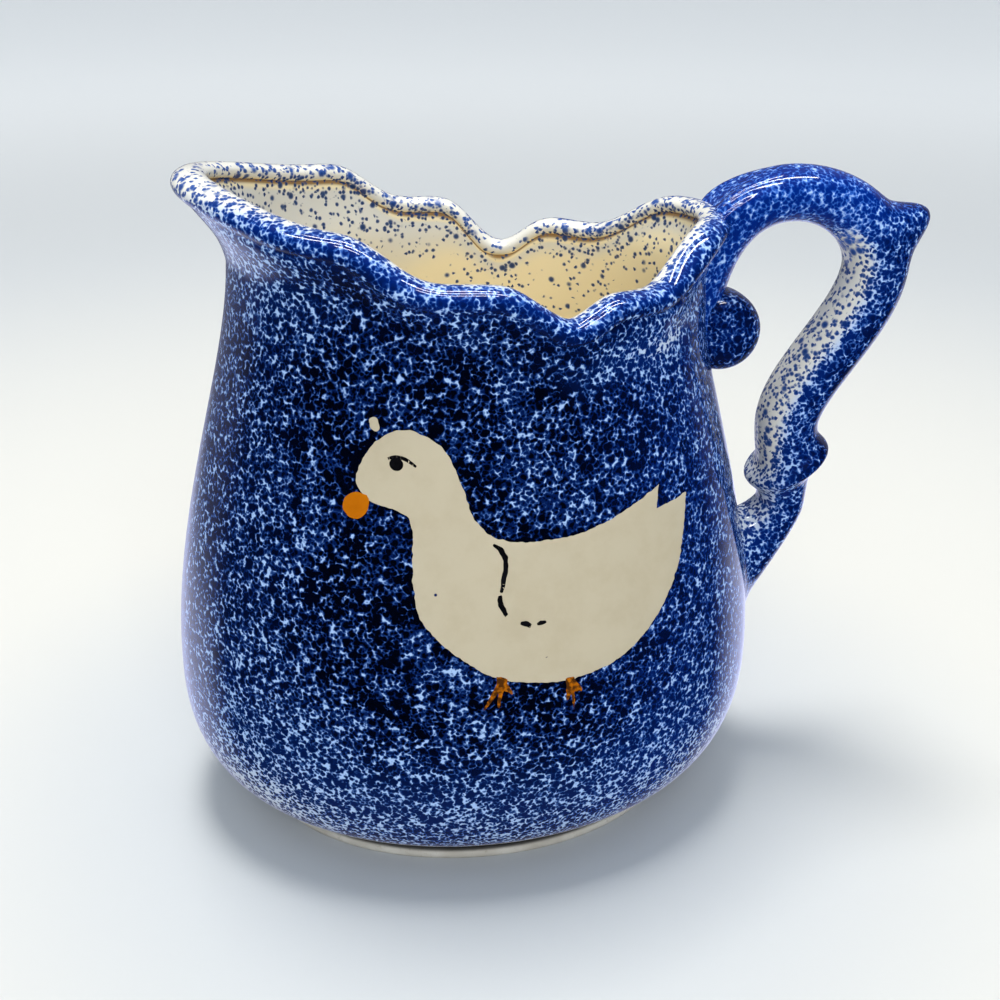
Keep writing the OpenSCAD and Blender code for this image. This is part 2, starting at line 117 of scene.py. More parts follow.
# Wall: the heel curve and the shoulder curve, as half length and half width over height
CURVE_SAMPLES = 2001
HEEL_START = np.array([FOOT[0] + HEEL_OVERHANG, FOOT[1] + HEEL_OVERHANG, HEEL_HEIGHT])
HEEL_RUN = np.array([5.0, 4.0, 0.0])
HEEL = [HEEL_START, HEEL_START + HEEL_RUN, BELLY - HEEL_RISE * UP, BELLY]
SHOULDER = [BELLY, BELLY + SHOULDER_RUN * UP, NECK - NECK_RUN * UP, NECK]
INSET = np.array([WALL, WALL, 0.0])
INNER_START = np.array([HEEL_START[0] - WALL, HEEL_START[1] - WALL, FLOOR_Z])
INNER_HEEL = [INNER_START, INNER_START + HEEL_RUN, BELLY - INSET - HEEL_RISE * UP, BELLY - INSET]
heel_line = bezier(HEEL, np.linspace(0, 1, CURVE_SAMPLES))
wall_line = np.vstack([heel_line, bezier(SHOULDER, np.linspace(0, 1, CURVE_SAMPLES))[1:]])


def flare(z):
    return LIP_FLARE * smooth((z - NECK[2] + FLARE_LEAD) / FLARE_HEIGHT)


def wall_half(z, k):
    """Half length (k = 0) or half width (k = 1) of the wall's outside at height z."""
    return np.interp(z, wall_line[:, 2], wall_line[:, k]) + flare(z)


def wall_point(a, z, d=0.0):
    """A point of the wall at plan angle a (degrees) and height z, d outside its outer face."""
    a, z, d = np.broadcast_arrays(np.asarray(a, float), np.asarray(z, float), np.asarray(d, float))
    side = np.cos(np.radians(90 * np.minimum(1, np.abs(a - 180) / SPOUT_HALF_ANGLE))) ** 2
    share = np.maximum(0, (z - SPOUT_BASE) / (SPOUT_TIP - SPOUT_BASE)) ** SPOUT_CURVE
    push = side * (SPOUT_REACH * share - flare(z))
    r = np.radians(a)
    x = (wall_half(z, 0) + d) * np.cos(r) - push
    return np.stack([x, (wall_half(z, 1) + d) * np.sin(r), z], -1)


# Rim: stations of height over plan angle from the handle, eased from one to the next
def rim_stations(notch):
    return [
        (0, HANDLE_RISE), (HANDLE_SIDE, HANDLE_RISE - HANDLE_SLOPE), (SADDLE_ANGLE, -SADDLE_DROP),
        (notch[0] - RIPPLE_GAP, RIPPLE_RISE - SADDLE_DROP), (notch[0], -notch[1]),
        (CREST_FROM, 0), (CREST_TO, 0), (SPOUT_ANGLE, SPOUT_STEP), (180, SPOUT_RISE),
    ]


def rim_run(a, stations, sharpness):
    height = np.zeros_like(a)
    for i, ((a0, h0), (a1, h1)) in enumerate(zip(stations, stations[1:])):
        t = np.clip((a - a0) / (a1 - a0), 0, 1)
        notched = t * t if i == NOTCH_STATION - 1 else t * (2 - t) if i == NOTCH_STATION else smooth(t)
        here = (a >= a0) & (a <= a1)
        height = np.where(here, mix(h0, h1, mix(smooth(t), notched, sharpness)), height)
    return height


def soften(values, passes):
    """A closed run of values, each eased towards its neighbours."""
    for _ in range(passes):
        values = (np.roll(values, 1) + 2 * values + np.roll(values, -1)) / 4
    return values


RIM_SAMPLES = 1440
rim_angles = np.arange(RIM_SAMPLES) * 360 / RIM_SAMPLES
rim_line = RIM_HEIGHT + RIM_LEAN * np.sin(np.radians(rim_angles)) + np.where(
    rim_angles < 180,
    rim_run(rim_angles, rim_stations(BACK_NOTCH), 0),
    rim_run(360 - rim_angles, rim_stations(FRONT_NOTCH), NOTCH_SHARPNESS),
)
scallop = smooth((SCALLOP_REACH - np.abs(rim_angles - 360 + FRONT_NOTCH[0])) / SCALLOP_EASE)
rim_line = mix(soften(rim_line, EVEN_PASSES), soften(rim_line, SCALLOP_PASSES), scallop)
rim_arc = np.hypot(NECK[0] * np.sin(np.radians(rim_angles)), NECK[1] * np.cos(np.radians(rim_angles)))
rim_step = 2 * rim_arc * np.radians(360 / RIM_SAMPLES)
rim_slope = (np.roll(rim_line, -1) - np.roll(rim_line, 1)) / rim_step
lip_line = soften(LIP_RADIUS * np.minimum(STEEPEST, np.sqrt(1 + rim_slope**2)), LIP_PASSES)


def round_rim(a, values):
    return np.interp(np.mod(a, 360), np.append(rim_angles, 360), np.append(values, values[0]))


def rim_z(a):
    return round_rim(a, rim_line)


def lip_tall(a):
    return round_rim(a, lip_line)


def lip_z(a):
    return rim_z(a) - lip_tall(a)


def wall_top(a):
    return lip_z(a) - LIP_BASE * lip_tall(a)


def roll(a, z):
    below = rim_z(a) - z
    groove = GROOVE_SHARE * near(below, GROOVE_DEPTH, ROLL_SPREAD)
    return ROLL_REACH * (near(below, ROLL_DEPTH, ROLL_SPREAD) - groove)


def outward(a):
    r = np.radians(a)
    n = np.stack([NECK[1] * np.cos(r), NECK[0] * np.sin(r), 0 * r], -1)
    return n / np.linalg.norm(n, axis=-1, keepdims=True)


def end_room(a, z):
    """How far the rim is carried out under the handle's root."""
    angle = np.mod(a + 180, 360) - 180
    return END_REACH * bump(angle, END_SPREAD) * smooth((z - NECK[2] + END_HEIGHT) / END_HEIGHT)


def lip_point(a, turn):
    """A point of the rolled lip: full outside, and a slimmer bead inside."""
    c, s = math.cos(math.radians(turn)), math.sin(math.radians(turn))
    wide = LIP_RADIUS + (roll(a, lip_z(a)) if c > 0 else INNER_ROLL + 0 * a)
    tall = lip_tall(a) * (1 if c > 0 else INNER_TALL)
    along = outward(a) * (wide * c)[:, None] + UP * (lip_tall(a) - tall * (1 - s))[:, None]
    return wall_point(a, lip_z(a), end_room(a, lip_z(a)) - WALL / 2) + along


# Meshes
SHARP_ANGLE = 50


def make_piece(name, points, faces, material, slot, replaced, **layers):
    """A smooth mesh piece that rides on the pitcher; layers are values at its points, for materials."""
    mesh = bpy.data.meshes.new(name)
    mesh.from_pydata((np.asarray(points) * MM).tolist(), [], faces)
    mesh.validate()
    mesh.shade_smooth()
    mesh.set_sharp_from_angle(angle=math.radians(SHARP_ANGLE))
    for layer_name, values in layers.items():
        layer = mesh.attributes.new(layer_name, "FLOAT", "POINT")
        layer.data.foreach_set("value", np.asarray(values, np.float32))
    mesh.materials.append(material)
    piece = bpy.data.objects.new(name, mesh)
    bpy.context.scene.collection.objects.link(piece)
    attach(piece, "root")
    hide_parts(*replaced)


def skin(rings, first, last):
    """Points and faces over closed rings (ring, place, xyz), with one point closing each end."""
    n, m = rings.shape[:2]
    points = np.vstack([rings.reshape(-1, 3), [first], [last]])
    i = np.arange(n - 1)[:, None] * m
    j = np.arange(m)[None, :]
    k = (j + 1) % m
    sides = np.stack([i + j, i + k, i + m + k, i + m + j], -1).reshape(-1, 4).tolist()
    start = [[n * m, (c + 1) % m, c] for c in range(m)]
    end = [[n * m + 1, (n - 1) * m + c, (n - 1) * m + (c + 1) % m] for c in range(m)]
    return points, sides + start + end


# Materials: one sponged glaze whose cover changes over the surface, and plain glazes and clay
class Nodes:
    """Adds shader nodes to a material, one short call each."""

    def __init__(self, name):
        self.material = bpy.data.materials.new(name)
        self.material.use_nodes = True
        self.tree = self.material.node_tree
        self.shader = self.tree.nodes["Principled BSDF"]
        self.place = self.add("ShaderNodeTexCoord").outputs["Object"]

    def add(self, kind, inputs=(), **settings):
        node = self.tree.nodes.new(kind)
        for name, value in settings.items():
            setattr(node, name, value)
        for name, value in dict(inputs).items():
            self.put(value, node.inputs[name])
        return node

    def put(self, value, socket):
        if isinstance(value, bpy.types.NodeSocket):
            self.tree.links.new(value, socket)
        else:
            socket.default_value = value

    def math(self, operation, a, b=0.0, clamp=False):
        return self.add("ShaderNodeMath", {0: a, 1: b}, operation=operation, use_clamp=clamp).outputs[0]

    def noise(self, scale, detail=2.0, roughness=0.5):
        inputs = {"Vector": self.place, "Scale": scale, "Detail": detail, "Roughness": roughness}
        return self.add("ShaderNodeTexNoise", inputs).outputs["Fac"]

    def layer(self, name):
        """A value kept at the points of the mesh."""
        return self.add("ShaderNodeAttribute", attribute_name=name).outputs["Fac"]

    def vector(self, operation, inputs):
        return self.add("ShaderNodeVectorMath", inputs, operation=operation).outputs[0]

    def edge(self, value, low, high):
        inputs = {"Value": value, "From Min": low, "From Max": high}
        return self.add("ShaderNodeMapRange", inputs, interpolation_type="SMOOTHSTEP").outputs["Result"]

    def blend(self, share, a, b):
        node = self.add("ShaderNodeMix", data_type="RGBA")
        self.put(share, node.inputs["Factor"])
        for name, value in (("A", a), ("B", b)):
            socket = next(s for s in node.inputs if s.name == name and s.type == "RGBA")
            self.put(value, socket)
        return next(s for s in node.outputs if s.type == "RGBA")

    def glossy(self, roughness, wave):
        """A glaze's gloss, with a slow wave in its surface."""
        self.shader.inputs["Roughness"].default_value = roughness
        self.shader.inputs["IOR"].default_value = 1.45
        height = self.noise(90, 1.0)
        lift = self.add("ShaderNodeBump", {"Height": height, "Strength": wave, "Distance": 0.0004})
        self.put(lift.outputs["Normal"], self.shader.inputs["Normal"])


def srgb(r, g, b):
    """A colour given as it looks on screen, from 0 to 255, as the shader's linear colour."""
    def linear(c):
        c = c / 255
        return c / 12.92 if c <= 0.04045 else ((c + 0.055) / 1.055) ** 2.4

    return (linear(r), linear(g), linear(b), 1.0)


MILK = srgb(228, 226, 216)
CREAM = srgb(253, 239, 198)
PALE_BLUE = srgb(164, 193, 234)
ROYAL = srgb(46, 83, 148)
NAVY = srgb(3, 25, 78)
INK = srgb(0, 2, 14)
LONE_SPECK = srgb(66, 86, 126)
# Amber brown in the crease under the inner bead: pooled glaze, with painted shade on it
AMBER_POOL_SHADE = srgb(150, 108, 52)
BROWN = srgb(66, 36, 12)
# Near black for the painted shade in the foot ring's groove
GROOVE_SHADE_COLOUR = srgb(16, 17, 22)
VIVID_PALE = srgb(172, 204, 250)
VIVID_ROYAL = srgb(46, 100, 196)
VIVID_NAVY = srgb(2, 38, 126)
# Dabs of the sponge: cells in a metre, a dab's size in its cell, and how many cells have one at full cover
FINE_DABS, BROAD_DABS = (1080.0, 1.0, 2.2), (400.0, 0.68, 1.8)


def sponged_glaze():
    """Round dabs of blue that run together where cover is high, and are soft specks where it is low."""
    m = Nodes("sponged_glaze")
    cover, amber, vivid = m.layer("cover"), m.layer("amber"), m.layer("vivid")
    strong = m.edge(cover, 0.08, 0.5)
    shift = m.add("ShaderNodeTexNoise", {"Vector": m.place, "Scale": 720, "Detail": 1.0}).outputs["Color"]
    centred = m.vector("SUBTRACT", {0: shift, 1: (0.5, 0.5, 0.5)})
    sway = m.math("MULTIPLY", m.math("ADD", strong, 0.2), 0.0011)
    scaled = m.vector("SCALE", {0: centred, "Scale": sway})
    place = m.vector("ADD", {0: m.place, 1: scaled})
    cloud = m.math("SUBTRACT", m.noise(48, 3.0), 0.5)
    patch = m.math("SUBTRACT", m.noise(190, 1.0), 0.5)
    depth = m.math("ADD", cloud, patch)
    share = m.math("MULTIPLY", m.math("ADD", m.math("MULTIPLY", depth, 0.5), 1.0), cover)
    bare = m.math("SUBTRACT", 1.0, m.math("MINIMUM", m.math("MAXIMUM", share, 0.16), 0.97))
    filled = m.math("MULTIPLY", m.math("LOGARITHM", bare, math.e), -1.0)
    reach = m.math("MULTIPLY", m.math("POWER", filled, 0.3333), 0.6)

    def dabs(scale, size, chance):
        """Depth inside round dabs, of which chance says how many there are at this cover."""
        cells = m.add("ShaderNodeTexVoronoi", {"Vector": place, "Scale": scale}, feature="F1")
        pick = m.add("ShaderNodeSeparateColor", {"Color": cells.outputs["Color"]}).outputs[0]
        missing = m.math("GREATER_THAN", pick, m.math("ADD", m.math("MULTIPLY", cover, chance), 0.015))
        inside = m.math("SUBTRACT", m.math("MULTIPLY", reach, size), cells.outputs["Distance"])
        return m.math("SUBTRACT", inside, missing)

    ink = m.math("MAXIMUM", dabs(*FINE_DABS), m.math("MULTIPLY", dabs(*BROAD_DABS), 2.0))
    crisp = m.math("ADD", m.math("MULTIPLY", strong, 0.55), 0.45)
    ink = m.math("MULTIPLY", ink, m.math("SUBTRACT", crisp, m.math("MULTIPLY", vivid, 0.45)))
    # Cream, then amber brown in the crease under the lip: pooled glaze with painted shade
    warm = m.blend(m.edge(amber, 0.5, 1.0), m.blend(m.edge(amber, 0.0, 0.5), MILK, CREAM), AMBER_POOL_SHADE)
    base = m.blend(m.edge(cover, 0.2, 0.55), warm, m.blend(vivid, PALE_BLUE, VIVID_PALE))
    speck = m.blend(m.math("MAXIMUM", strong, vivid), LONE_SPECK, m.blend(vivid, ROYAL, VIVID_ROYAL))
    thin = m.blend(m.edge(ink, -0.2, -0.01), base, speck)
    dark = m.math("ADD", m.math("MULTIPLY", strong, 0.5), 0.5)
    full_share = m.math("MULTIPLY", m.edge(ink, -0.06, 0.13), dark)
    full = m.blend(full_share, thin, m.blend(vivid, NAVY, VIVID_NAVY))
    deep = m.edge(m.math("ADD", ink, m.math("MULTIPLY", depth, 0.4)), 0.1, 0.34)
    dull = m.math("SUBTRACT", 1.0, m.math("MULTIPLY", vivid, 0.8))
    black = m.math("MULTIPLY", m.edge(cover, 0.5, 0.74), dull)
    m.put(m.blend(m.math("MULTIPLY", deep, black), full, INK), m.shader.inputs["Base Color"])
    m.glossy(0.06, 0.2)
    return m.material


def painted_glaze(name, colour, dark, specks):
    """A brushed colour under the glaze, uneven at two scales, with a few dark specks."""
    m = Nodes(name)
    uneven = m.noise(140, 4.0, 0.6)
    tone = m.blend(m.edge(uneven, 0.35, 0.75), colour, dark)
    dots = m.add("ShaderNodeTexVoronoi", {"Vector": m.place, "Scale": 190.0}, feature="F1")
    chosen = m.math("LESS_THAN", m.noise(95, 0.0), specks)
    spot = m.math("MULTIPLY", m.edge(dots.outputs["Distance"], 0.085, 0.05), chosen)
    brown = m.math("MULTIPLY", m.layer("worn"), m.edge(m.noise(900, 2.0), 0.3, 0.58))
    m.put(m.blend(brown, m.blend(spot, tone, NAVY), BROWN), m.shader.inputs["Base Color"])
    m.glossy(0.1, 0.25)
    return m.material


def bare_clay():
    """Unglazed fired clay, matte, with a fine grain, darkened to near black by painted shade in the foot's
    groove.
    """
    m = Nodes("bare_clay")
    grain = m.noise(900, 4.0, 0.7)
    stain = m.noise(120, 3.0)
    tone = m.blend(m.edge(stain, 0.3, 0.7), srgb(202, 199, 190), srgb(180, 175, 164))
    clean = m.blend(m.edge(grain, 0.55, 0.8), tone, srgb(158, 150, 136))
    # Painted shade: the foot's groove darkens towards near black
    m.put(m.blend(m.layer("grime"), clean, GROOVE_SHADE_COLOUR), m.shader.inputs["Base Color"])
    m.shader.inputs["Roughness"].default_value = 0.85
    lift = m.add("ShaderNodeBump", {"Height": grain, "Strength": 0.4, "Distance": 0.0002})
    m.put(lift.outputs["Normal"], m.shader.inputs["Normal"])
    return m.material


SPONGED = sponged_glaze()
WHITE = painted_glaze("white_glaze", srgb(194, 184, 160), srgb(188, 177, 152), 0.38)
OCHRE = painted_glaze("ochre_glaze", srgb(190, 108, 8), srgb(174, 94, 3), 0.3)
BLACK = painted_glaze("black_glaze", srgb(9, 9, 12), srgb(16, 16, 20), 0.0)
CLAY = bare_clay()

# Duck: outline in its own flat frame, laid on the wall
DUCK_X, DUCK_Z = 7.0, 59.0
CURVE_STEPS = 8
DUCK_BACK = [(31.5, 40), (23, 36.5), (13, 33.7), (3, 33), (-6, 34), (-11.5, 38.5), (-14, 46), (-18, 54)]
DUCK_HEAD = [(-25.3, 57.6), (-32, 54.5), (-36, 47), (-33.5, 42.5), (-28, 40.6)]
DUCK_BREAST = [(-25, 37.5), (-25.2, 25), (-23.5, 16), (-16, 8), (-6, 2)]
DUCK_BELLY = [(8, 0), (20, 2.2), (29, 8), (36, 18), (38.5, 29), (39.2, 35.8)]
TAIL_NOTCH = (30.8, 34.7)


def curve(points):
    """A smooth open curve through points."""
    p = np.asarray(points, float)
    p = np.vstack([p[:1], p, p[-1:]])
    t = np.arange(CURVE_STEPS)[:, None] / CURVE_STEPS
    runs = []
    for a, b, c, d in zip(p, p[1:], p[2:], p[3:]):
        cubic = (2 * a - 5 * b + 4 * c - d) * t**2 + (3 * b - a - 3 * c + d) * t**3
        runs.append((2 * b + (c - a) * t + cubic) / 2)
    return np.vstack([*runs, p[-1:]])


duck_line = np.vstack([curve(DUCK_BACK + DUCK_HEAD + DUCK_BREAST + DUCK_BELLY), [TAIL_NOTCH]])
duck_line = duck_line + [DUCK_X, DUCK_Z]


def from_line(x, z, line):
    """Distance of each point from a closed line."""
    best = np.full(np.shape(x), 1e9)
    for (ax, az), (bx, bz) in zip(line, np.roll(line, -1, 0)):
        dx, dz = bx - ax, bz - az
        t = np.clip(((x - ax) * dx + (z - az) * dz) / (dx**2 + dz**2), 0, 1)
        best = np.minimum(best, np.hypot(x - ax - t * dx, z - az - t * dz))
    return best


# Body: rings up the outside, over the lip and down the inside; cover is 0 where bare and 1 where all blue
BODY_COLUMNS = 480
HEEL_RINGS, WALL_RINGS, LIP_RINGS, INNER_RINGS, FLOOR_RINGS = 20, 110, 40, 90, 16
INNER_TOP, INNER_EASE = 1.37, 0.8
LOW_COVER, HIGH_COVER, END_THINNING = 0.46, 0.77, 0.13
DUCK_EDGE, DUCK_EDGE_REACH = 0.1, 2.0
UNDER_COVER, INNER_COVER, INNER_SPECKS, SPECK_DEPTH = 0.6, 0.012, 0.17, 14
CREAMY, CREASE_POOL_SHADE = 0.5, 0.9
TIP_WEAR, NOTCH_WEAR, INNER_WEAR = 0.55, 0.7, 0.6
RIM_VIVID, RIM_VIVID_DEPTH, END_VIVID = 0.6, 7, 0.34
# Centre and spread: in degrees of plan, and for the brown line in depth under the rim, which is pooled glaze
# darkened by painted shade in the crease
SPOUT_PALE, HANDLE_PALE, TIP_WORN, NOTCH_WORN = (180, 62), (314, 34), (184, 30), (68, 20)
CREASE_SHADE_LINE = (4.4, 1.7)
# Start and length: up the wall, out to its ends, and over the turn of the lip
BLUE_RISE, END_RUN, VIVID_END_RUN = (12, 46), (22, 40), (8, 40)
WORN_TURN, BEAD_SHADE_TURN = (60, 40), (200, 30)
# The inside turns yellow over a long depth at the spout and a short one at the handle
YELLOW_FROM, YELLOW_DEPTHS, YELLOW_RUN = 4, (42, 8), (-45, 65)
LIP_BLUE = ((0, 30, 60, 88, 106, 122, 150, 200), (0.66, 0.6, 0.5, 0.34, 0.1, 0.08, 0.2, 0.26))
LIP_PALE = ((-20, 0, 30, 60, 90, 120, 200), (0.62, 0.5, 0.36, 0.22, 0.1, 0.07, 0.22))
body_angles = np.arange(BODY_COLUMNS) * 360 / BODY_COLUMNS


def inked(p):
    """How much of the outside is blue: most in the middle, less towards the base and both ends."""
    upright = mix(LOW_COVER, HIGH_COVER, ramp(p[:, 2], *BLUE_RISE))
    return upright - END_THINNING * ramp(np.abs(p[:, 0]), *END_RUN)


def thinning_and_highlight(a, below):
    """How much less blue there is under the lip, in the groove below it, under the spout and by the handle:
    partly thinner sponging, partly painted highlight where these bands catch the light.
    """
    spout, handle = near(a, *SPOUT_PALE), near(a, *HANDLE_PALE)
    bands = [(0.12, 1, 3, 9), (0.05, 1, 15, 8), (0.2, spout, 15, 17), (0.26, handle, 13, 6)]
    return sum(share * where * near(below, depth, spread) for share, where, depth, spread in bands)


def body_rings():
    """Rings from the heel up the outside, over the lip and down the inside, with the glaze's layers."""
    a = body_angles
    top = wall_top(a)
    # The glaze is pale round the spout, and almost bare at its tip and beside the back notch
    spout, tip, notch = near(a, *SPOUT_PALE), near(a, *TIP_WORN), near(a, *NOTCH_WORN)
    rings, cover, amber = [], [], []
    for t in np.linspace(0, 1, HEEL_RINGS)[:-1]:
        z = bezier(HEEL, t)[2]
        rings.append(wall_point(a, z))
        cover.append(inked(rings[-1]))
    for t in np.linspace(0, 1, WALL_RINGS):
        z = mix(BELLY[2], top, t)
        p = wall_point(a, z, roll(a, z) + end_room(a, z))
        rings.append(p)
        off_duck = from_line(p[:, 0], p[:, 2], duck_line)
        by_duck = np.where(p[:, 1] < 0, np.exp(-off_duck / DUCK_EDGE_REACH), 0)
        # Paler bands below the rim: partly thinner sponging, partly painted highlight
        cover.append(inked(p) - thinning_and_highlight(a, rim_z(a) - z) + DUCK_EDGE * by_duck)
    for turn in np.linspace(LIP_START, LIP_END, LIP_RINGS):
        rings.append(lip_point(a, turn))
        sponged = mix(np.interp(turn, *LIP_BLUE), np.interp(turn, *LIP_PALE), spout)
        cover.append(sponged * (1 - TIP_WEAR * tip) * (1 - NOTCH_WEAR * notch * ramp(turn, *WORN_TURN)))
        # The inner side of the bead browns towards the crease: pooled glaze with painted shade
        amber.append(np.full(a.size, CREASE_POOL_SHADE * ramp(turn, *BEAD_SHADE_TURN)))
    amber = [np.zeros(a.size)] * (len(rings) - len(amber)) + amber
    vivid = []
    for r in rings:
        at_rim = RIM_VIVID * near(rim_z(a), r[:, 2], RIM_VIVID_DEPTH)
        vivid.append(np.maximum(at_rim, END_VIVID * ramp(r[:, 0], *VIVID_END_RUN)))
    inner_top = rim_z(a) - INNER_TOP * lip_tall(a)
    for t in np.linspace(1, 0, INNER_RINGS):
        z = mix(BELLY[2], inner_top, t**INNER_EASE)
        p = wall_point(a, z, end_room(a, z) - WALL)
        rings.append(p)
        below = rim_z(a) - z
        specks = INNER_SPECKS * np.exp(-(below / SPECK_DEPTH) ** 2)
        cover.append(INNER_COVER + specks * (1 - INNER_WEAR * notch))
        yellow = CREAMY * ramp(below, YELLOW_FROM, mix(*YELLOW_DEPTHS, ramp(p[:, 0], *YELLOW_RUN)))
        # The line under the inner bead is painted shade on pooled glaze
        amber.append(mix(yellow, CREASE_POOL_SHADE, near(below, *CREASE_SHADE_LINE)))
    for t in np.linspace(1, 0, FLOOR_RINGS)[1:]:
        p = bezier(INNER_HEEL, t)
        r = np.radians(a)
        rings.append(np.stack([p[0] * np.cos(r), p[1] * np.sin(r), np.full(a.size, p[2])], -1))
        cover.append(np.full(a.size, INNER_COVER))
        amber.append(np.full(a.size, CREAMY))
    vivid += [np.zeros(a.size)] * (len(rings) - len(vivid))
    return np.array(rings), np.array(cover), np.array(amber), np.array(vivid)


rings, cover, amber, vivid = body_rings()
points, faces = skin(rings, (0, 0, HEEL_HEIGHT), (0, 0, FLOOR_Z))
make_piece(
    "pitcher_body", points, faces, SPONGED, "sponged_glaze", ["body"],
    cover=np.append(cover.ravel(), [UNDER_COVER, INNER_COVER]),
    amber=np.append(amber.ravel(), [0, CREAMY]),
    vivid=np.append(vivid.ravel(), [0, 0]),
)

# Handle: from the top of the arch to the shoulder, the waist and the tail, in the XZ plane
HANDLE_REACH = 48.0
ROOT_HEIGHT, ROOT_REACH, ROOT_WIDTH = 142.6, (9.8, 32.6), 19.0
TAIL_HEIGHT, TAIL_REACH, TAIL_WIDTH = 57.0, (13.5, 13.5), 22.0
APEX_SHARE, APEX_RISE, FAR_HEIGHT = 0.52, 12.7, 137.0
WAIST_HEIGHT, WAIST_STANDOFF = 96.0, 18.4
APEX = np.array([NECK[0] + APEX_SHARE * HANDLE_REACH, ROOT_HEIGHT + APEX_RISE])
FAR = np.array([NECK[0] + HANDLE_REACH, FAR_HEIGHT])
WAIST = np.array([wall_half(WAIST_HEIGHT, 0) + WAIST_STANDOFF, WAIST_HEIGHT])
TAIL = np.array([wall_half(TAIL_HEIGHT, 0), TAIL_HEIGHT])
LEAN, DROP, FALL = FAR[0] - APEX[0], FAR[1] - WAIST[1], WAIST[1] - TAIL_HEIGHT
HANDLE_CURVES = [
    [APEX, APEX + [0.52 * LEAN, 0], FAR + [0, 0.55 * (APEX[1] - FAR[1])], FAR],
    [FAR, FAR - [0, 0.34 * DROP], WAIST + [0, 0.3 * DROP], WAIST],
    [WAIST, WAIST - [0, 0.4 * FALL], TAIL + [15, 9], TAIL],
]
SECTIONS = np.array([[0, 13.4, 17], [1, 15.8, 18], [2, 15.8, 18], [2.45, 12, 16], [3, 12, 16]])
SPUR_AT, SPUR_REACH, SPUR_SPREAD, SPUR_SHARPNESS = 0.78, 7.5, 4.6, 3
COLLAR_FROM, COLLAR_HEIGHT, COLLAR_REACH, COLLAR_SPREAD, COLLAR_TILT = 1.5, 85.0, 3.7, 4.6, 4.4
TAIL_FROM = 2.5
ROOT_TOP_LEAD, ROOT_LOW_LEAD = np.array([3.0, 0, 4]), np.array([2.0, 0, 15])
ROOT_TOP_RUN, ROOT_LOW_RUN = 9.0, 17.7
TAIL_LOW_LEAD, TAIL_TOP_LEAD = np.array([2.0, 0, 3]), np.array([2.0, 0, 0.5])
TAIL_LOW_RUN, TAIL_TOP_RUN = 6.0, 2.0
HANDLE_SIDES = 72
handle_turns = -np.arange(HANDLE_SIDES) * 360 / HANDLE_SIDES


def path_at(u):
    i = min(2, int(u))
    return bezier(HANDLE_CURVES[i], u - i)


def path_along(u):
    d = path_at(u + 0.01) - path_at(max(0, u - 0.01))
    return d / np.linalg.norm(d)


def section_at(u):
    i = int(np.clip(np.searchsorted(SECTIONS[:, 0], u) - 1, 0, len(SECTIONS) - 2))
    p, q = SECTIONS[i], SECTIONS[i + 1]
    return mix(p, q, ramp(u, p[0], q[0] - p[0]))


def free_ring(u, turn):
    c, s = np.cos(np.radians(turn)), np.sin(np.radians(turn))
    p, d, half = path_at(u), path_along(u), section_at(u) / 2
    collar = 0
    if u > COLLAR_FROM:
        collar = COLLAR_REACH * bump(p[1] - COLLAR_HEIGHT - COLLAR_TILT * c, COLLAR_SPREAD)
    spur = SPUR_REACH * bump(np.linalg.norm(p - path_at(SPUR_AT)), SPUR_SPREAD)
    spur = spur * np.maximum(0, c) ** SPUR_SHARPNESS
    out, side = c * (half[1] + collar) + spur, s * (half[2] + collar)
    return np.stack([p[0] - d[1] * out, side, p[1] + d[0] * out], -1)


def face_x(y, z, d=0.0):
    """The outer face of the neck and lip near the handle, as x over y and z, d outside it."""
    a = np.mod(np.degrees(np.arcsin(np.clip(y / wall_half(z, 1), -1, 1))), 360)
    rise = np.maximum(math.sin(math.radians(LIP_START)), (z - lip_z(a)) / lip_tall(a))
    lip = wall_point(a, lip_z(a), -WALL / 2)[..., 0]
    lip = lip + (LIP_RADIUS + roll(a, lip_z(a))) * np.sqrt(np.maximum(0, 1 - rise**2))
    return d + np.where(z < wall_top(a), wall_point(a, z, roll(a, z))[..., 0], lip)


def seat(turn, z, reach, width, d):
    """A closed line on that face: an upright oval that reaches up and down from height z."""
    c, s = np.cos(np.radians(turn)), np.sin(np.radians(turn))
    y, h = s * width / 2, z + c * np.where(c > 0, *reach)
    return np.stack([face_x(y, h, d), y, h], -1)


def root_seat(turn, d):
    return seat(turn, ROOT_HEIGHT, ROOT_REACH, ROOT_WIDTH, d)


def tail_seat(turn, d):
    return seat(turn + 180, TAIL_HEIGHT, TAIL_REACH, -TAIL_WIDTH, d)


# The joints are filleted below the lip: near the wall each ring grows along the wall to meet it softly
FILLET, SINK, SEAT_EASE = 3.6, -0.6, 1.4
CREST_OUT, CREST_SINK, CREST_PART = 0.6, 0.3, (0.5, 0.4)
ROOT_RINGS, FREE_RINGS, TAIL_RINGS = 40, 190, 34


def filleted(ring):
    """The ring moved along the wall, away from its middle, by the fillet at its distance off the wall."""
    y, z = ring[:, 1], ring[:, 2]
    off = np.clip((ring[:, 0] - face_x(y, z)) / FILLET, 0, 1)
    room = np.clip((lip_z(0.0) - z) / FILLET, 0, 1)
    grow = FILLET * room * (1 - np.sqrt(1 - (1 - off) ** 2))
    flat = ring[:, 1:]
    along = np.roll(flat, -1, 0) - np.roll(flat, 1, 0)
    length = np.maximum(np.linalg.norm(along, axis=1, keepdims=True), 1e-6)
    away = np.stack([along[:, 1], -along[:, 0]], -1) / length
    if np.sum(away * (flat - flat.mean(0))) < 0:
        away = -away
    moved = ring.copy()
    moved[:, 1:] += away * grow[:, None]
    moved[:, 0] += face_x(moved[:, 1], moved[:, 2]) - face_x(y, z)
    return moved


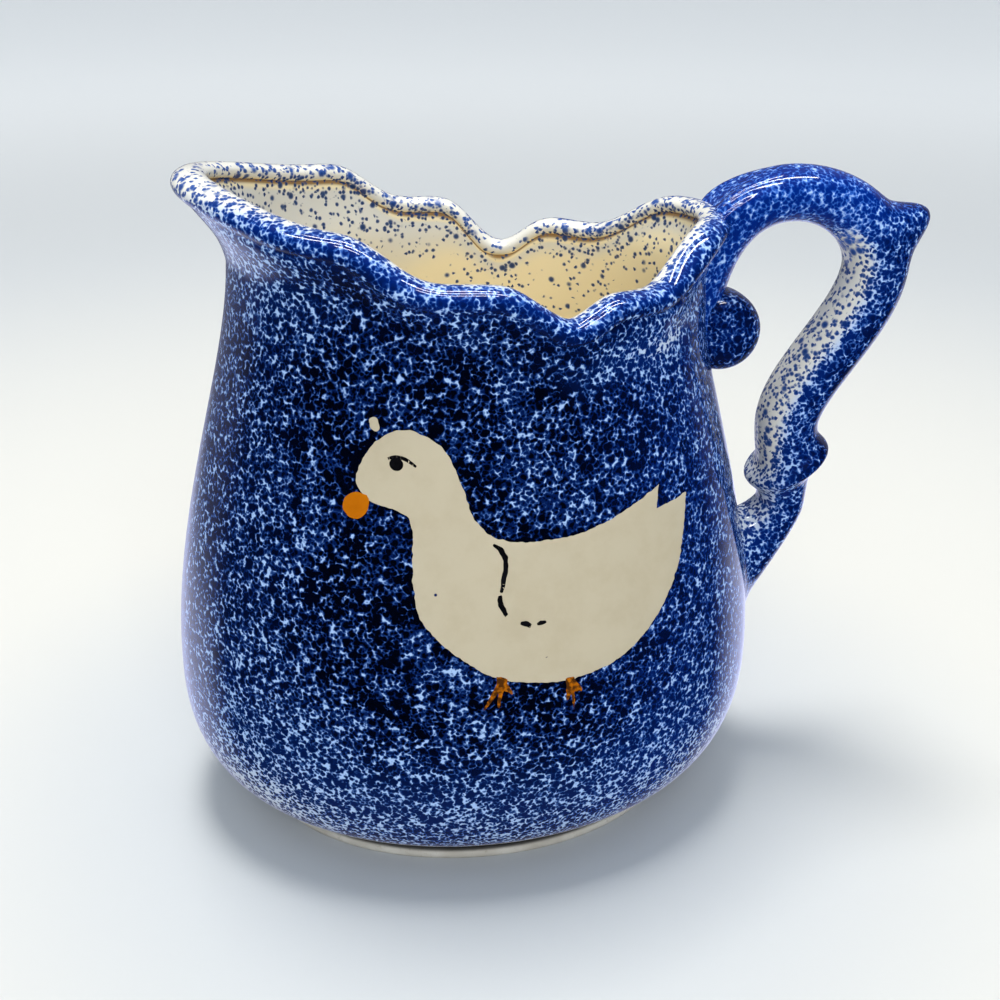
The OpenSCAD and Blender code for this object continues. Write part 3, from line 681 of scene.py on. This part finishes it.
def handle_rings():
    turn = handle_turns
    outer = (1 + np.cos(np.radians(turn))) / 2
    share = outer[:, None]
    rings = []
    start = root_seat(turn, SINK)
    around = np.mod(np.degrees(np.arcsin(start[:, 1] / NECK[1])), 360)
    crest = wall_point(around, lip_z(around), end_room(around, lip_z(around)) - WALL / 2)
    crest = np.stack([crest[:, 0] + CREST_OUT, start[:, 1], rim_z(around) - CREST_SINK], -1)
    start = mix(start, crest, ramp(np.cos(np.radians(turn)), *CREST_PART)[:, None])
    end = free_ring(0, turn)
    lead = mix(ROOT_LOW_LEAD, ROOT_TOP_LEAD, share)
    run = np.stack([mix(ROOT_LOW_RUN, ROOT_TOP_RUN, outer), 0 * outer, 0 * outer], -1)
    for t in np.linspace(0, 1, ROOT_RINGS)[:-1] ** SEAT_EASE:
        rings.append(filleted(bezier([start, start + lead, end - run, end], t)))
    for u in np.linspace(0, TAIL_FROM, FREE_RINGS)[:-1]:
        rings.append(free_ring(u, turn))
    last = tail_seat(turn, SINK)
    first = free_ring(TAIL_FROM, turn)
    d = path_along(TAIL_FROM)
    along = np.array([d[0], 0, d[1]]) * mix(TAIL_TOP_RUN, TAIL_LOW_RUN, outer)[:, None]
    lead = mix(TAIL_TOP_LEAD, TAIL_LOW_LEAD, share)
    for t in 1 - np.linspace(1, 0, TAIL_RINGS) ** SEAT_EASE:
        rings.append(filleted(bezier([first, first + along, last + lead, last], t)))
    return np.array(rings)


# The glaze is blue all round at the arch, and pale inside the grip; runs are along the handle's three curves
ARCH_COVER, HANDLE_END_COVER = 0.64, 0.8
GRIP_COVER = ((-1, -0.75, 0.0, 1), (0.16, 0.2, 0.68, 0.76))
GRIP_RUN, LOW_RUN, LOW_BARE = (0.2, 0.4), (2.0, 0.4), 0.6
ARCH_VIVID, GRIP_VIVID, VIVID_RUN = 0.95, 0.4, (0.4, 0.5)
rings = handle_rings()
facing_out = np.cos(np.radians(handle_turns))
along = np.concatenate([
    np.linspace(-0.3, 0, ROOT_RINGS - 1), np.linspace(0, TAIL_FROM, FREE_RINGS - 1),
    np.linspace(TAIL_FROM, 3, TAIL_RINGS),
])
bare = ramp(along, *GRIP_RUN) * mix(1, LOW_BARE, ramp(along, *LOW_RUN))
handle_cover = np.interp(facing_out, *GRIP_COVER)
handle_cover = mix(ARCH_COVER, handle_cover, bare[:, None])
handle_vivid = mix(ARCH_VIVID, GRIP_VIVID, ramp(along, *VIVID_RUN))
handle_vivid = np.tile(handle_vivid[:, None], (1, HANDLE_SIDES))
points, faces = skin(rings, rings[0].mean(0), rings[-1].mean(0))
make_piece(
    "scroll_handle", points, faces, SPONGED, "sponged_glaze", ["handle", "root_slip", "tail_slip"],
    cover=np.append(handle_cover.ravel(), [HANDLE_END_COVER] * 2),
    vivid=np.append(handle_vivid.ravel(), [0, 0]),
)

# Curl: a rounded barrel across the root's leg, flattened where it sits on the wall
CURL_SIDES, CURL_RINGS = 96, 62
CURL_COVER, CURL_VIVID = 0.74, 0.35
CURL_RADIUS, CURL_WIDTH, CURL_HEIGHT, CURL_STANDOFF, CURL_SQUARENESS = 10.0, 18.0, 122.5, 4.75, 3


def curl_rings():
    turn = np.arange(CURL_SIDES) * 360 / CURL_SIDES
    rings = []
    for k in np.linspace(-1, 1, CURL_RINGS)[1:-1]:
        t = math.sin(math.pi / 2 * k)
        r = CURL_RADIUS * (1 - abs(t) ** CURL_SQUARENESS) ** (1 / CURL_SQUARENESS)
        z = CURL_HEIGHT + r * np.sin(np.radians(turn))
        x = wall_half(CURL_HEIGHT, 0) + CURL_STANDOFF + r * np.cos(np.radians(turn))
        y = np.full(turn.size, t * CURL_WIDTH / 2)
        rings.append(np.stack([np.maximum(x, face_x(y, z, SINK)), y, z], -1))
    return np.array(rings)


rings = curl_rings()
points, faces = skin(rings[::-1], rings[-1].mean(0), rings[0].mean(0))
make_piece(
    "handle_scroll", points, faces, SPONGED, "sponged_glaze", ["handle_curl"],
    cover=np.full(len(points), CURL_COVER), vivid=np.full(len(points), CURL_VIVID),
)

# Foot ring: a swept profile with soft edges and a groove under the heel, as depth from outside and height
FOOT_TOP = HEEL_HEIGHT + 0.3
# The groove under the heel gets painted shade, near black, from the flange's top inwards
GROOVE_SHADE, GROOVE_SHADE_RUN = 0.94, (0.2, 0.7)
FOOT_PROFILE = [
    (FOOT_GROOVE, FOOT_TOP), (FOOT_GROOVE, FOOT_FLANGE + 0.5), (FOOT_GROOVE - 0.4, FOOT_FLANGE + 0.1),
    (1.6, FOOT_FLANGE), (0.7, FOOT_FLANGE), (0.2, FOOT_FLANGE - 0.3), (0, FOOT_FLANGE - 0.8),
    (0, 0.8), (0.25, 0.25), (0.8, 0), (FOOT_BEARING - 0.8, 0), (FOOT_BEARING - 0.25, 0.25),
    (FOOT_BEARING, 0.8), (FOOT_BEARING, FOOT_TOP),
]


def foot_mesh():
    r = np.radians(body_angles)
    rings = [
        np.stack([(FOOT[0] - d) * np.cos(r), (FOOT[1] - d) * np.sin(r), np.full(r.size, z)], -1)
        for d, z in FOOT_PROFILE[::-1]
    ]
    n, m = len(rings), r.size
    faces = [
        [i * m + c, i * m + (c + 1) % m, (i + 1) % n * m + (c + 1) % m, (i + 1) % n * m + c]
        for i in range(n) for c in range(m)
    ]
    # Painted shade on the flange's top and in the groove
    grime = [
        np.full(m, GROOVE_SHADE * ramp(d, *GROOVE_SHADE_RUN) if z >= FOOT_FLANGE - 0.1 else 0.0)
        for d, z in FOOT_PROFILE[::-1]
    ]
    return np.vstack(rings), faces, np.concatenate(grime)


points, faces, grime = foot_mesh()
make_piece("foot_ring_clay", points, faces, CLAY, "bare_clay", ["foot_ring"], grime=grime)


# Painted pieces: thin closed shells that follow the wall
GRID, EDGE_STEP, ROUNDED, UNDERSIDE = 0.8, 0.35, 0.5, 0.25


def front_wall(xz, d):
    """Points of the front wall under flat points, d outside it."""
    x, z = xz[:, 0], xz[:, 1]
    a = np.degrees(np.arccos(np.clip(x / wall_half(z, 0), -1, 1)))
    return wall_point(360 - a, z, d)


def ragged(line, reach, seed):
    """A closed line with the uneven edge of paint dabbed through a stencil."""
    loop = np.vstack([line, line[:1]])
    length = np.append(0, np.cumsum(np.linalg.norm(np.diff(loop, axis=0), axis=1)))
    at = np.linspace(0, length[-1], max(12, int(length[-1] / EDGE_STEP)), endpoint=False)
    even = np.stack([np.interp(at, length, loop[:, k]) for k in (0, 1)], -1)
    draw = np.random.default_rng(seed).normal(size=len(even))
    draw = soften(draw, 2)
    tangent = np.roll(even, -1, 0) - np.roll(even, 1, 0)
    normal = np.stack([tangent[:, 1], -tangent[:, 0]], -1)
    normal = normal / np.linalg.norm(tangent, axis=1, keepdims=True)
    return even + normal * (draw * reach)[:, None]


def painted(name, lines, material, slot, replaced, low, high, worn=0.0):
    """A thin shell over each closed line, from low to high above the wall."""
    all_points, all_faces = [], []
    for line in lines:
        lo, hi = line.min(0), line.max(0)
        gx, gz = np.meshgrid(np.arange(lo[0], hi[0], GRID), np.arange(lo[1], hi[1], GRID))
        inner = np.stack([gx.ravel(), gz.ravel()], -1)
        verts = [Vector(p) for p in np.vstack([line, inner])]
        n = len(line)
        edges = [(i, (i + 1) % n) for i in range(n)]
        flat, _, tris, *_ = delaunay_2d_cdt(verts, edges, [list(range(n))], 1, 1e-5)
        flat = np.array([list(v) for v in flat])
        used = sorted({i for t in tris for i in t})
        index = {v: i for i, v in enumerate(used)}
        flat = flat[used]
        tris = [[index[i] for i in t] for t in tris]
        rim = from_line(flat[:, 0], flat[:, 1], line)
        front = front_wall(flat, mix(low, high, smooth(rim / ROUNDED)))
        back = front_wall(flat, low - UNDERSIDE)
        base = sum(len(p) for p in all_points)
        count = len(flat)
        seen = dict.fromkeys(e for t in tris for e in zip(t, t[1:] + t[:1]))
        border = [e for e in seen if (e[1], e[0]) not in seen]
        all_points += [front, back]
        all_faces += [[base + i for i in t] for t in tris]
        all_faces += [[base + count + i for i in reversed(t)] for t in tris]
        all_faces += [[base + b, base + a, base + count + a, base + count + b] for a, b in border]
    points = np.vstack(all_points)
    make_piece(name, points, all_faces, material, slot, replaced, worn=np.full(len(points), worn))


def placed(points):
    return np.asarray(points, float) + [DUCK_X, DUCK_Z]


def blob(centre, length, height, tilt, sides=40):
    t = np.arange(sides) * 2 * math.pi / sides
    c, s = math.cos(math.radians(tilt)), math.sin(math.radians(tilt))
    x, z = np.cos(t) * length / 2, np.sin(t) * height / 2
    return np.stack([centre[0] + c * x - s * z, centre[1] + s * x + c * z], -1)


def stroke(points, widths):
    """The outline of a brush line along points, with the width at each share of its length."""
    p = curve(points)
    d = np.gradient(p, axis=0)
    side = np.stack([-d[:, 1], d[:, 0]], -1) / np.linalg.norm(d, axis=1, keepdims=True)
    half = np.interp(np.linspace(0, 1, len(p)), np.linspace(0, 1, len(widths)), widths)[:, None] / 2
    return np.vstack([p + side * half, (p - side * half)[::-1]])


FEET = [
    [
        (-7.7, 3.1), (-7.8, 1.0), (-9.1, -1.6), (-11.0, -5.0), (-10.6, -5.3), (-8.4, -2.4), (-7.4, -1.0),
        (-7.7, -3.0), (-7.5, -4.8), (-7.1, -4.7), (-6.8, -2.8), (-6.2, -0.6), (-5.2, -1.0), (-4.3, -1.7),
        (-4.2, -1.3), (-4.9, 0.2), (-5.4, 1.2), (-5.3, 2.6),
    ],
    [
        (8.1, 0.8), (8.2, -1.7), (8.2, -4.5), (8.6, -5.1), (9.4, -3.6), (9.7, -5.9), (10.1, -7.9),
        (10.3, -5.7), (10.2, -3.3), (11.2, -3.3), (12.0, -3.5), (11.9, -2.8), (10.9, -1.3), (10.3, -0.3),
        (10.2, 0.8),
    ],
]
BILL = curve([
    (-33.7, 43.4), (-36.2, 44.0), (-38.6, 42.6), (-39.3, 40.6), (-38.2, 38.6), (-36.3, 38.2), (-34.4, 39.6),
    (-33.7, 41.4), (-33.7, 43.4),
])[:-1]
SPOT = blob((-31.6, 58.4), 2.1, 3.2, 10)
EYE = blob((-27.5, 50.4), 2.9, 2.8, 0)
EYELID = [(-29.2, 51.5), (-27.6, 51.9), (-25.6, 51.5), (-23.4, 50.0)]
EYELID_WIDTHS = [0.5, 0.8, 0.8, 0.5]
WING_STROKES = [
    ([(-7.8, 33.2), (-6.2, 31.8), (-5.1, 29.4), (-5.5, 26.2), (-6.3, 22.4)], [0.5, 1.2, 1.1, 1.2, 0.7]),
    ([(-6.7, 21.8), (-6.5, 19.8), (-5.1, 17.2)], [0.7, 1.3, 0.9]),
    ([(-2.2, 15.2), (-1.0, 14.8), (0.2, 14.2)], [0.6, 1.2, 1.0]),
    ([(1.4, 14.4), (2.4, 14.6), (3.6, 14.8)], [0.6, 1.1, 0.5]),
]

# Heights over the wall: the figure, then the bill and feet beside it, then the lines on it
FIGURE_LOW, FIGURE_HIGH, BESIDE_LOW, TOP = 0.02, 0.08, 0.05, 0.13
figure = [ragged(duck_line, 0.16, 3), ragged(placed(SPOT), 0.2, 5)]
painted("painted_duck", figure, WHITE, "white_glaze", ["duck_figure"], FIGURE_LOW, FIGURE_HIGH)
bill = [ragged(placed(BILL), 0.12, 7)]
painted("painted_bill", bill, OCHRE, "ochre_glaze", ["duck_bill"], BESIDE_LOW, TOP)
feet = [ragged(placed(line), 0.1, 11 + i) for i, line in enumerate(FEET)]
painted("painted_feet", feet, OCHRE, "ochre_glaze", ["duck_feet"], BESIDE_LOW, TOP, worn=0.95)
eye = [placed(EYE), placed(stroke(EYELID, EYELID_WIDTHS))]
painted("painted_eye", eye, BLACK, "black_glaze", ["duck_eye"], FIGURE_HIGH, TOP)
wing = [ragged(placed(stroke(*s)), 0.14, 21 + i) for i, s in enumerate(WING_STROKES)]
painted("painted_wing_line", wing, BLACK, "black_glaze", ["duck_wing_line"], FIGURE_HIGH, TOP)

# Camera: the photograph's view of the pitcher
CAMERA_AZIMUTH, CAMERA_ELEVATION, CAMERA_ROLL = -8.75, 24.45, 0.18
CAMERA_DISTANCE = 309.26
CAMERA_TARGET = (8.46, -1.30, 79.2)
LENS, SENSOR = 43.17, 36.0


def make_camera():
    a, e = math.radians(CAMERA_AZIMUTH), math.radians(CAMERA_ELEVATION)
    back = Vector((math.sin(a) * math.cos(e), -math.cos(a) * math.cos(e), math.sin(e)))
    data = bpy.data.cameras.new("camera")
    data.lens, data.sensor_width = LENS, SENSOR
    data.clip_start, data.clip_end = 0.01, 20
    camera = bpy.data.objects.new("camera", data)
    turn = (-back).to_track_quat("-Z", "Y").to_matrix().to_4x4()
    turn = turn @ Matrix.Rotation(math.radians(CAMERA_ROLL), 4, "Z")
    place = (Vector(CAMERA_TARGET) + back * CAMERA_DISTANCE) * MM
    camera.matrix_world = Matrix.Translation(place) @ turn
    bpy.context.scene.collection.objects.link(camera)
    bpy.context.scene.camera = camera


# Stage: a pale floor that curves up into a wall all round, with a painted shadow, darker and bluer, close
# round the pitcher, and soft light from above and in front
# Darker, bluer floor close round the pitcher: a painted shadow
FLOOR_SHADOW_NEAR = srgb(197, 201, 204), srgb(194, 199, 203)
FLOOR_MIDDLE, FLOOR_OUTER, FLOOR_FAR = srgb(215, 214, 208), srgb(197, 200, 201), srgb(248, 249, 247)
LAMP_TARGET = Vector((0.0, 0.0, 0.08))
PLAIN, WARM, COOL = (1.0, 0.985, 0.955), (1.0, 0.97, 0.915), (0.94, 0.98, 1.0)
SOFT_LAMPS = [
    ("soft_room", (0.0, 0.0, 3.4), (6.0, 6.0), 62.0, COOL),
    ("soft_top", (-0.1, 0.26, 2.1), (0.5, 0.75), 36.0, WARM),
    ("soft_front", (-0.1, -1.6, 1.05), (1.3, 1.0), 18.5, PLAIN),
]
STRIP_HEIGHT, STRIP_POWER = 0.8, 2.0
STRIPS = [
    ("strip_front", (0.0, -0.2), (0.46, 0.04)), ("strip_back", (0.0, 0.2), (0.46, 0.04)),
    ("strip_left", (-0.21, 0.0), (0.04, 0.4)), ("strip_right", (0.21, 0.0), (0.04, 0.4)),
]


def make_sweep():
    """One pale sheet, round in plan, with a painted shadow close round the pitcher."""
    first, flat, bend, slope, end, sides = 0.7, 1.4, 3.0, math.radians(40), 4.6, 96
    profile = [(flat + bend * math.sin(t), bend * (1 - math.cos(t))) for t in np.linspace(0, slope, 24)]
    edge_r, edge_z = profile[-1]
    profile = [(first, 0.0)] + profile + [(end, edge_z + (end - edge_r) * math.tan(slope))]
    turns = [2 * math.pi * k / sides for k in range(sides)]
    points = [(0, 0, 0)] + [(r * math.cos(t), r * math.sin(t), z) for r, z in profile for t in turns]
    faces = [[0, 1 + k, 1 + (k + 1) % sides] for k in range(sides)]
    for i in range(len(profile) - 1):
        low, high = 1 + i * sides, 1 + (i + 1) * sides
        for k, after in zip(range(sides), [*range(1, sides), 0]):
            faces.append([low + k, high + k, high + after, low + after])
    mesh = bpy.data.meshes.new("sweep")
    mesh.from_pydata(points, [], faces)
    mesh.shade_smooth()
    m = Nodes("sweep")
    away = m.add("ShaderNodeVectorMath", {0: m.place}, operation="LENGTH").outputs["Value"]
    # Painted shadow near the middle, easing out to the plain floor
    tone = m.blend(m.edge(m.noise(3, 2.0), 0.3, 0.7), *FLOOR_SHADOW_NEAR)
    for start, stop, colour in ((0.06, 0.19, FLOOR_MIDDLE), (0.2, 0.7, FLOOR_OUTER), (0.7, 1.9, FLOOR_FAR)):
        tone = m.blend(m.edge(away, start, stop), tone, colour)
    m.put(tone, m.shader.inputs["Base Color"])
    m.shader.inputs["Roughness"].default_value = 0.9
    m.shader.inputs["Specular IOR Level"].default_value = 0.1
    mesh.materials.append(m.material)
    sweep = bpy.data.objects.new("sweep", mesh)
    sweep.visible_glossy = False
    bpy.context.scene.collection.objects.link(sweep)


def make_lamp(name, place, size, power, glint, colour):
    """A rectangular lamp, for soft light with no glint of its own or for a glint alone."""
    data = bpy.data.lights.new(name, "AREA")
    data.shape = "RECTANGLE"
    data.size, data.size_y = size
    data.energy = power
    data.color = colour
    lamp = bpy.data.objects.new(name, data)
    lamp.visible_glossy = glint
    lamp.visible_diffuse = not glint
    lamp.visible_camera = False
    aim = (LAMP_TARGET - Vector(place)).to_track_quat("-Z", "Y").to_matrix().to_4x4()
    lamp.matrix_world = Matrix.Translation(place) @ aim
    bpy.context.scene.collection.objects.link(lamp)


def make_world():
    """An even fill, and in reflections a dark room that glows above, below and to either side behind."""
    world = bpy.data.worlds.new("world")
    world.use_nodes = True
    tree = world.node_tree
    fill = tree.nodes["Background"]
    fill.inputs["Color"].default_value = srgb(190, 216, 252)
    fill.inputs["Strength"].default_value = 0.25
    way = tree.nodes.new("ShaderNodeSeparateXYZ")
    tree.links.new(tree.nodes.new("ShaderNodeTexCoord").outputs["Generated"], way.inputs[0])
    along_x, along_y, along_z = way.outputs

    def calculate(operation, *values):
        node = tree.nodes.new("ShaderNodeMath")
        node.operation = operation
        for value, socket in zip(values, node.inputs):
            if isinstance(value, float):
                socket.default_value = value
            else:
                tree.links.new(value, socket)
        return node.outputs[0]

    def fade(value, low, high, strength):
        node = tree.nodes.new("ShaderNodeMapRange")
        node.interpolation_type = "SMOOTHSTEP"
        tree.links.new(value, node.inputs["Value"])
        for name, number in (("From Min", low), ("From Max", high), ("To Max", strength)):
            node.inputs[name].default_value = number
        return node.outputs["Result"]

    sides = calculate("ADD", fade(calculate("ABSOLUTE", along_x), 0.1, 0.5, 0.5), 0.5)
    table = calculate("MULTIPLY", fade(along_z, -0.2, -0.42, 1.3), fade(along_z, -0.78, -0.52, 1.0))
    glowing = calculate("MULTIPLY", sides, calculate("ADD", table, 0.4))
    behind = calculate("MULTIPLY", fade(along_y, 0.1, 0.5, 1.0), glowing)
    upper = calculate("ADD", fade(along_z, 0.6, 1.0, 0.35), fade(along_z, -0.5, -1.0, 0.1))
    glow = tree.nodes.new("ShaderNodeBackground")
    glow.inputs["Color"].default_value = srgb(208, 212, 246)
    tree.links.new(calculate("ADD", calculate("ADD", behind, upper), 0.015), glow.inputs["Strength"])
    either = tree.nodes.new("ShaderNodeMixShader")
    tree.links.new(tree.nodes.new("ShaderNodeLightPath").outputs["Is Glossy Ray"], either.inputs[0])
    tree.links.new(fill.outputs[0], either.inputs[1])
    tree.links.new(glow.outputs[0], either.inputs[2])
    tree.links.new(either.outputs[0], tree.nodes["World Output"].inputs["Surface"])
    bpy.context.scene.world = world


make_camera()
make_sweep()
make_world()
for name, place, size, power, colour in SOFT_LAMPS:
    make_lamp(name, place, size, power, False, colour)
for name, place, size in STRIPS:
    make_lamp(name, (*place, STRIP_HEIGHT), size, STRIP_POWER, True, PLAIN)
bpy.context.scene.view_settings.view_transform = "Standard"
